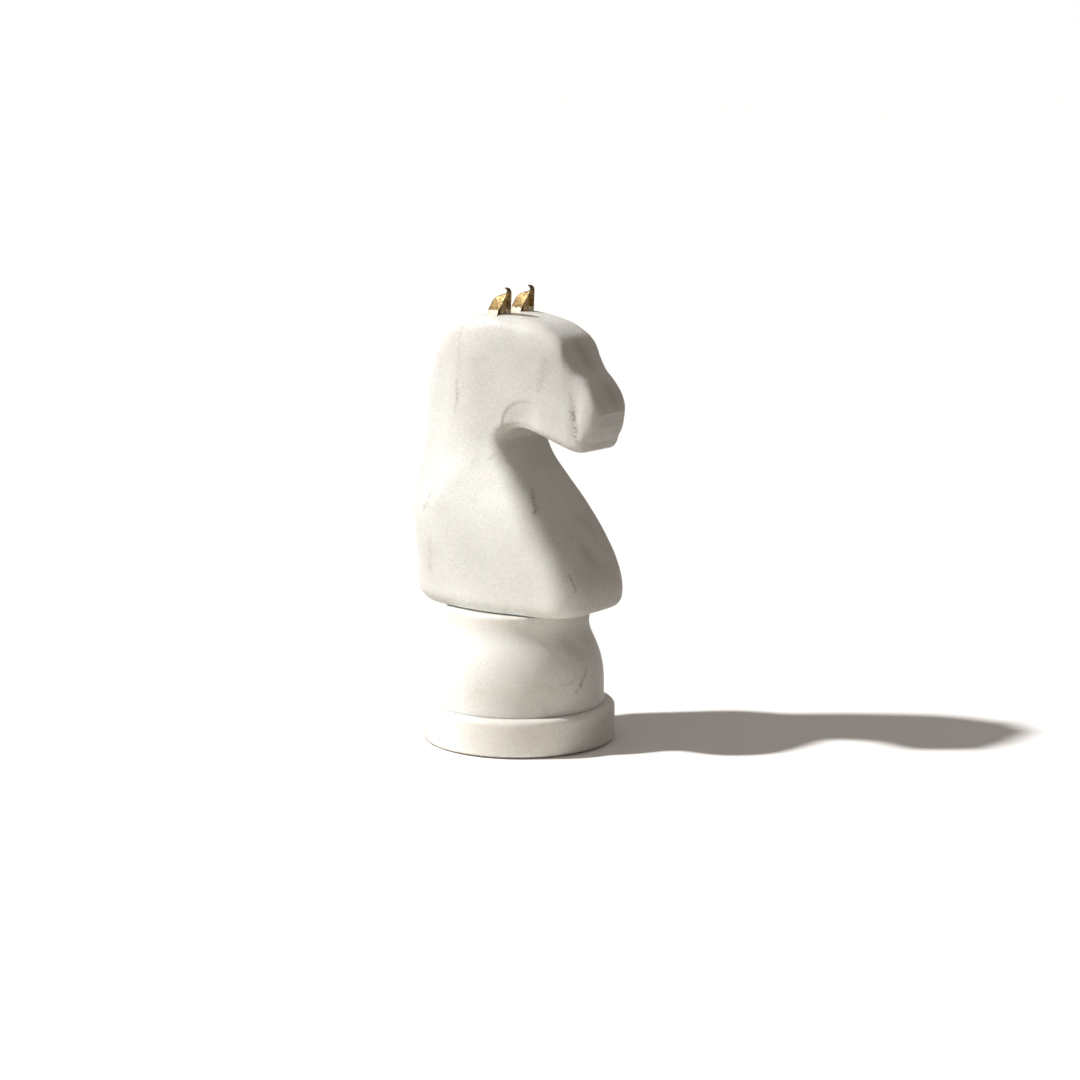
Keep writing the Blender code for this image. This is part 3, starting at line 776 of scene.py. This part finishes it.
def make_ears(shape, finish):
    """Both ears: brass outside with a painted highlight over the foot, a paler, duller copy in the hollow
    that paints light on its shaded floor, and a darker copy beside the right rim that paints the shade
    inside it.
    """
    # Brass outside, with a painted highlight over the foot.
    outer = ear_material("antique_brass", finish, metallic=1.0, lift=1.2, foot_highlight=1.0)
    # A paler, non-metal copy for the hollow: painted light on its shaded floor.
    inner = ear_material("antique_brass_painted_light", finish, metallic=0.0, lift=2.0)
    # A darkened copy for the hollow beside the right rim: painted shade, the shadow inside the rim.
    rim_painted_shade = ear_material("antique_brass_crevice", finish, metallic=0.6, lift=0.5, painted_shade=0.9)
    for side in ("right", "left"):
        low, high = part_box("ear_" + side)
        y = (low[1] + high[1]) / 2
        rows = through_points(EAR_CUTS, EAR_STEPS)
        rings = [ear_ring(row, y, EAR_TURN_STEPS, EAR_SPANS) for row in rows]
        obj = skin("brass_ear_" + side, rings)
        lies = ear_tree(rows, rings, y)
        hammer(obj, shape, outer)
        stud_low, stud_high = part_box("ear_stud_" + side)
        radius = (stud_high[0] - stud_low[0]) / 2 + FIT
        cut_away(obj, [peg(radius, low[2] - 0.002, stud_high[2] + FIT, (EAR_X, y))])
        smooth(obj, 50)
        give(obj, (outer, inner, rim_painted_shade), "cast_brass", "ear_" + side)
        for polygon in obj.data.polygons:
            depth, across = lies(polygon.center)
            polygon.material_index = 0
            # The hollow gets the paler copy, painted light on its shaded floor; beside the right rim it gets
            # the darker copy, painted shade.
            if depth <= HOLLOW_DEPTH and abs(across) <= HOLLOW_WIDTH:
                polygon.material_index = 2 if across < RIM_SHADE_SIDE else 1


def ear_tree(rows, rings, y):
    """A function that tells how a point lies in an ear's hollow: how deep, with 1 at the hollow's floor,
    and how far across, from -1 at the right flank to 1 at the left."""
    tree = kdtree.KDTree(sum(len(ring) for ring in rings))
    lies = []
    for row, ring in zip(rows, rings):
        rear = np.array([row[0], 0, row[1]])
        rim = np.array([row[2], 0, row[3]])
        length = np.linalg.norm(rim - rear)
        along = (rim - rear) / length
        wide, narrow, hollow = row[4:]
        seat = np.array([EAR_X, y, EAR_LOW[2]])
        for p in ring:
            tree.insert(Vector(p), len(lies))
            behind = float((seat + rim - p) @ along)
            flank = wide + (narrow - wide) * behind / length
            lies.append((behind / hollow, float(p[1] - y) / flank))
    tree.balance()
    return lambda point: lies[tree.find(point)[1]]


def hammer(obj, shape, mat):
    """Dent the surface with rounded hammer marks, by a Geometry Nodes tree."""
    modifier = obj.modifiers.new("hammer", "NODES")
    modifier.node_group = hammer_tree()
    set_input(modifier, "Depth", shape.hammer_depth)
    set_input(modifier, "Size", shape.hammer_size)
    set_input(modifier, "Finish", mat)
    bake_modifiers(obj)


def set_input(modifier, name, value):
    """Set a node group's named input on the modifier that uses it."""
    for item in modifier.node_group.interface.items_tree:
        if item.item_type == "SOCKET" and item.in_out == "INPUT" and item.name == name:
            modifier[item.identifier] = value
            return
    raise KeyError(name)


def geometry_tree(name, sockets):
    """A new Geometry Nodes tree with named inputs, its node maker, and what its inputs give."""
    tree = bpy.data.node_groups.new(name, "GeometryNodeTree")
    tree.interface.new_socket("Geometry", in_out="INPUT", socket_type="NodeSocketGeometry")
    for socket, kind in sockets:
        tree.interface.new_socket(socket, in_out="INPUT", socket_type=kind)
    tree.interface.new_socket("Geometry", in_out="OUTPUT", socket_type="NodeSocketGeometry")
    n = Nodes(tree)
    return tree, n, n.add("NodeGroupInput").outputs


def hammer_tree():
    found = bpy.data.node_groups.get("hammer_marks")
    if found:
        return found
    sockets = (("Depth", "NodeSocketFloat"), ("Size", "NodeSocketFloat"), ("Finish", "NodeSocketMaterial"))
    tree, n, given = geometry_tree("hammer_marks", sockets)
    point = n.add("GeometryNodeInputPosition").outputs[0]
    scale = n.math("DIVIDE", 1.0, given["Size"])
    cells = n.add("ShaderNodeTexVoronoi", {"Vector": point, "Scale": scale}, feature="SMOOTH_F1")
    dent = n.math("SUBTRACT", n.math("MULTIPLY", cells.outputs["Distance"], cells.outputs["Distance"]), 0.35)
    push = n.math("MULTIPLY", dent, given["Depth"])
    normal = n.add("GeometryNodeInputNormal").outputs[0]
    offset = n.scaled(normal, push)
    moved = n.add("GeometryNodeSetPosition", {"Geometry": given["Geometry"], "Offset": offset})
    real = n.add("GeometryNodeRealizeInstances", {"Geometry": moved.outputs[0]}).outputs[0]
    finished = n.add("GeometryNodeSetMaterial", {"Geometry": real, "Material": given["Finish"]}).outputs[0]
    n.add("NodeGroupOutput", {"Geometry": finished})
    return tree


def turn_tree():
    """Turns an outline of edges in the XZ plane about the Z axis, with a slight hand-made waviness."""
    found = bpy.data.node_groups.get("turned_block")
    if found:
        return found
    sockets = (
        ("Steps", "NodeSocketInt"),
        ("Rows", "NodeSocketInt"),
        ("Unevenness", "NodeSocketFloat"),
        ("Seed", "NodeSocketFloat"),
        ("Finish", "NodeSocketMaterial"),
    )
    tree, n, given = geometry_tree("turned_block", sockets)
    curve = n.add("GeometryNodeMeshToCurve", {"Mesh": given["Geometry"]}).outputs[0]
    sheet = n.add(
        "GeometryNodeMeshGrid",
        {"Size X": 1.0, "Size Y": 1.0, "Vertices X": given["Steps"], "Vertices Y": given["Rows"]},
    ).outputs["Mesh"]
    place = n.add("ShaderNodeSeparateXYZ", {0: n.add("GeometryNodeInputPosition").outputs[0]}).outputs
    angle = n.math("MULTIPLY", n.math("ADD", place["X"], 0.5), math.tau)
    share = n.math("ADD", place["Y"], 0.5)
    inputs = {"Curves": curve, "Factor": share}
    sample = n.add("GeometryNodeSampleCurve", inputs, mode="FACTOR", use_all_curves=True)
    at = n.add("ShaderNodeSeparateXYZ", {0: sample.outputs["Position"]}).outputs
    turned = n.add(
        "ShaderNodeCombineXYZ",
        {
            0: n.math("MULTIPLY", at["X"], n.math("COSINE", angle)),
            1: n.math("MULTIPLY", at["X"], n.math("SINE", angle)),
            2: at["Z"],
        },
    ).outputs[0]
    solid = n.add("GeometryNodeSetPosition", {"Geometry": sheet, "Position": turned}).outputs[0]
    solid = n.add("GeometryNodeMergeByDistance", {"Geometry": solid, "Distance": 0.00001}).outputs[0]
    point = n.add("GeometryNodeInputPosition").outputs[0]
    inputs = {"Vector": point, "W": given["Seed"], "Scale": 22.0, "Detail": 2.0}
    wave = n.add("ShaderNodeTexNoise", inputs, noise_dimensions="4D").outputs["Fac"]
    normal = n.add("GeometryNodeInputNormal").outputs[0]
    upright = n.math("ABSOLUTE", n.z_of(normal))
    amount = n.math("MULTIPLY", n.math("SUBTRACT", wave, 0.5), n.math("MULTIPLY", given["Unevenness"], 2.0))
    amount = n.math("MULTIPLY", amount, n.math("SUBTRACT", 1.0, upright, clamp=True))
    offset = n.scaled(n.vector("MULTIPLY", normal, (1.0, 1.0, 0.0)), amount)
    solid = n.add("GeometryNodeSetPosition", {"Geometry": solid, "Offset": offset}).outputs[0]
    real = n.add("GeometryNodeRealizeInstances", {"Geometry": solid}).outputs[0]
    finished = n.add("GeometryNodeSetMaterial", {"Geometry": real, "Material": given["Finish"]}).outputs[0]
    n.add("NodeGroupOutput", {"Geometry": finished})
    return tree


def arc(centre, radius, start, end, steps):
    """Points of an arc in a turned outline, with angles in degrees from +radius towards +Z."""
    angles = np.radians(np.linspace(start, end, steps + 1))
    return [(centre[0] + radius * math.cos(a), centre[1] + radius * math.sin(a)) for a in angles]


def turned(name, outline, shape, mat, seed):
    """A block turned from a closed outline of (radius, z) points."""
    bm = bmesh.new()
    verts = [bm.verts.new((r, 0, z)) for r, z in outline]
    for first, second in zip(verts, verts[1:] + verts[:1]):
        bm.edges.new((first, second))
    obj = mesh_object(name, bm)
    modifier = obj.modifiers.new("turn", "NODES")
    modifier.node_group = turn_tree()
    set_input(modifier, "Steps", shape.turn_steps + 1)
    set_input(modifier, "Rows", shape.turn_rows)
    set_input(modifier, "Unevenness", shape.unevenness)
    set_input(modifier, "Seed", seed)
    set_input(modifier, "Finish", mat)
    bake_modifiers(obj)
    face_out(obj)
    return obj


def face_out(obj):
    """Weld the seam and turn every face outward."""
    bm = bmesh.new()
    bm.from_mesh(obj.data)
    bmesh.ops.remove_doubles(bm, verts=bm.verts, dist=1e-5)
    bmesh.ops.recalc_face_normals(bm, faces=bm.faces)
    bm.to_mesh(obj.data)
    bm.free()


def make_plinth(shape, finish):
    """The foot disc, with the nut's pocket open below."""
    bore = ROD_HIGH[0] + BORE_PLAY
    bottom, top = PLINTH_LOW[2] - TAKE_UP, PLINTH_HIGH[2]
    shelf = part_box("washer")[1][2] + FIT
    radius, foot, edge = PLINTH_HIGH[0], 0.0020, 0.0048
    outline = [(bore, shelf), (NUT_POCKET, shelf), (NUT_POCKET, bottom)]
    outline += arc((radius - foot, bottom + foot), foot, -90, 0, 10)
    outline += arc((radius - edge, top - edge), edge, 0, 90, 18)
    outline += [(bore, top)]
    obj = turned("marble_plinth", outline, shape, marble(finish), 3.0)
    cut_away(obj, holes_in(bottom, top))
    smooth(obj)
    give(obj, [marble(finish)], "marble", "plinth")


def make_stem(shape, finish):
    """The waisted block between plinth and bust."""
    bore = ROD_HIGH[0] + BORE_PLAY
    bottom, top = STEM_LOW[2] - TAKE_UP, STEM_HIGH[2] + TAKE_UP
    arris = 0.0003
    curve = through_points([(r, z, 0, 0) for r, z in STEM_CURVE], 8)[:, :2]
    outline = [(bore, bottom)]
    outline += arc((STEM_CURVE[0][0] - arris, bottom + arris), arris, -90, 0, 6)
    outline += [tuple(p) for p in curve]
    outline += arc((STEM_CURVE[-1][0] - arris, top - arris), arris, 0, 90, 6)
    outline += [(bore, top)]
    obj = turned("marble_stem", outline, shape, marble(finish), 7.0)
    cut_away(obj, holes_in(bottom, top))
    smooth(obj)
    give(obj, [marble(finish)], "marble", "stem")


def make_felt():
    """The felt disc, with its cut edge rounded."""
    low, high, radius = PAD_LOW[2], PAD_HIGH[2], PAD_HIGH[0]
    edge = (high - low) / 2
    angles = np.linspace(0, math.tau, FELT_STEPS, endpoint=False)
    rings = []
    for r, z in arc((radius - edge, low + edge), edge, -90, 90, 8):
        rings.append(np.stack([r * np.cos(angles), r * np.sin(angles), np.full(FELT_STEPS, z)], axis=1))
    obj = skin("felt_disc", rings, (0, 0, low), (0, 0, high))
    smooth(obj, 60)
    give(obj, [felt_material()], "felt", "felt_pad")


def finish_fittings():
    """Better metal on the frame's own rod, nut, washers, sleeve, studs and dowels."""
    steel = turned_metal("zinc_steel", (0.60, 0.605, 0.61), (0.42, 0.40, 0.36), 2600.0, 0.22, 0.38)
    brass = turned_metal("turned_brass", (0.78, 0.60, 0.30), (0.45, 0.30, 0.12), 3200.0, 0.18, 0.32)
    for name in ("tie_rod", "washer", "spring_washer", "nut", *DOWELS):
        dress(name, steel)
    for name in ("rod_sleeve", "ear_stud_right", "ear_stud_left"):
        dress(name, brass)


def dress(name, mat):
    """Put a material on one of the frame's own nodes."""
    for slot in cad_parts[name].material_slots:
        slot.material = mat


def make_disc(name, radius, location, mat):
    bm = bmesh.new()
    bmesh.ops.create_circle(bm, cap_ends=True, segments=96, radius=radius)
    disc = mesh_object(name, bm)
    disc.location = location
    disc.data.materials.append(mat)
    return disc


def make_floor(light):
    """A wide pale floor, and a cream board before the foot that only throws light back up."""
    white = floor_material("white_floor", (0.95, 0.95, 0.955), (0.93, 0.93, 0.935))
    floor = make_disc("floor", FLOOR_RADIUS, (0, 0, -FLOOR_DEPTH), white)
    floor.visible_diffuse = False
    floor.visible_shadow = False
    cream = floor_material("cream_board", (0.96, 0.925, 0.865), (0.95, 0.915, 0.855))
    board = make_disc("bounce", light.bounce, BOARD_CENTRE, cream)
    board.visible_camera = False
    board.visible_glossy = False
    board.visible_shadow = False


def make_world(light):
    """An even sky over a warmer, darker ground; what the camera sees of it is plain white."""
    world = bpy.data.worlds.new("studio")
    bpy.context.scene.world = world
    world.use_nodes = True
    n = Nodes(world.node_tree)
    background = world.node_tree.nodes["Background"]
    upward = n.z_of(n.add("ShaderNodeTexCoord").outputs["Generated"])
    colour = n.blend(n.step(upward, -0.15, 0.25), opaque(light.ground), opaque(light.sky))
    seen = n.add("ShaderNodeLightPath").outputs["Is Camera Ray"]
    colour = n.blend(seen, colour, (1.0, 1.0, 1.0, 1.0))
    world.node_tree.links.new(colour, background.inputs["Color"])


def make_sun(light):
    """The key light: high on the camera's left, behind the horse and to its right."""
    lamp = bpy.data.lights.new("key", "SUN")
    lamp.energy = light.key
    lamp.angle = light.key_softness
    lamp.color = (1.0, 0.985, 0.96)
    sun = bpy.data.objects.new("key", lamp)
    bpy.context.scene.collection.objects.link(sun)
    sun.rotation_euler = TOWARDS_SUN.normalized().to_track_quat("Z", "Y").to_euler()


def make_camera():
    """A long lens a little above the horse, three-quarters on to its right side."""
    across, away = math.cos(VIEW_ANGLE), math.sin(VIEW_ANGLE)
    camera = bpy.data.objects.new("camera", bpy.data.cameras.new("camera"))
    bpy.context.scene.collection.objects.link(camera)
    camera.data.sensor_width = 36.0
    camera.data.lens = CAMERA_LENS
    camera.location = (away * CAMERA_DISTANCE, -across * CAMERA_DISTANCE, CAMERA_HEIGHT)
    aim = CAMERA_HEIGHT - CAMERA_DISTANCE * math.tan(CAMERA_TILT) - CAMERA_DROP
    target = Vector((across * CAMERA_ASIDE, away * CAMERA_ASIDE, aim))
    camera.rotation_euler = (target - camera.location).to_track_quat("-Z", "Y").to_euler()
    bpy.context.scene.camera = camera


def make_stage(light):
    """Floor, sky, key light and camera, with colours shown as they are."""
    make_floor(light)
    make_world(light)
    make_sun(light)
    make_camera()
    bpy.context.scene.view_settings.view_transform = "Standard"


class KNIGHT_OT_stage(bpy.types.Operator):
    """Make the floor, the light and the camera"""

    bl_idname = "knight.stage"
    bl_label = "Make Stage"

    def execute(self, context):
        make_stage(context.scene.knight_light)
        return {"FINISHED"}


class KNIGHT_OT_bust(bpy.types.Operator):
    """Carve the marble head, neck and chest"""

    bl_idname = "knight.bust"
    bl_label = "Carve Bust"

    def execute(self, context):
        make_bust(context.scene.knight_shape, context.scene.knight_finish)
        return {"FINISHED"}


class KNIGHT_OT_foot(bpy.types.Operator):
    """Turn the marble stem and plinth"""

    bl_idname = "knight.foot"
    bl_label = "Turn Stem and Plinth"

    def execute(self, context):
        make_stem(context.scene.knight_shape, context.scene.knight_finish)
        make_plinth(context.scene.knight_shape, context.scene.knight_finish)
        return {"FINISHED"}


class KNIGHT_OT_ears(bpy.types.Operator):
    """Cast the two brass ears"""

    bl_idname = "knight.ears"
    bl_label = "Cast Ears"

    def execute(self, context):
        make_ears(context.scene.knight_shape, context.scene.knight_finish)
        return {"FINISHED"}


class KNIGHT_OT_fittings(bpy.types.Operator):
    """Finish the rod, nut, washers, sleeve, studs and dowels"""

    bl_idname = "knight.fittings"
    bl_label = "Finish Fittings"

    def execute(self, context):
        finish_fittings()
        return {"FINISHED"}


class KNIGHT_OT_felt(bpy.types.Operator):
    """Cut the felt disc"""

    bl_idname = "knight.felt"
    bl_label = "Cut Felt"

    def execute(self, context):
        make_felt()
        return {"FINISHED"}


class KNIGHT_PT_panel(bpy.types.Panel):
    """The knight's sizes, finishes and steps"""

    bl_idname = "KNIGHT_PT_panel"
    bl_label = "Marble Chess Knight"
    bl_space_type = "VIEW_3D"
    bl_region_type = "UI"
    bl_category = "Knight"

    def draw(self, context):
        for group in (context.scene.knight_shape, context.scene.knight_finish, context.scene.knight_light):
            box = self.layout.box()
            for name in group.__annotations__:
                box.prop(group, name)
        for operator in OPERATORS:
            self.layout.operator(operator.bl_idname)


GROUPS = (KnightShape, KnightFinish, KnightLight)
OPERATORS = (
    KNIGHT_OT_stage,
    KNIGHT_OT_bust,
    KNIGHT_OT_foot,
    KNIGHT_OT_ears,
    KNIGHT_OT_fittings,
    KNIGHT_OT_felt,
)


def register():
    for cls in (*GROUPS, *OPERATORS, KNIGHT_PT_panel):
        bpy.utils.register_class(cls)
    bpy.types.Scene.knight_shape = PointerProperty(type=KnightShape)
    bpy.types.Scene.knight_finish = PointerProperty(type=KnightFinish)
    bpy.types.Scene.knight_light = PointerProperty(type=KnightLight)


def unregister():
    del bpy.types.Scene.knight_light
    del bpy.types.Scene.knight_finish
    del bpy.types.Scene.knight_shape
    for cls in reversed((*GROUPS, *OPERATORS, KNIGHT_PT_panel)):
        bpy.utils.unregister_class(cls)


def main():
    register()
    bpy.ops.knight.stage()
    bpy.ops.knight.bust()
    bpy.ops.knight.foot()
    bpy.ops.knight.ears()
    bpy.ops.knight.fittings()
    bpy.ops.knight.felt()


if __name__ == "__main__":
    main()
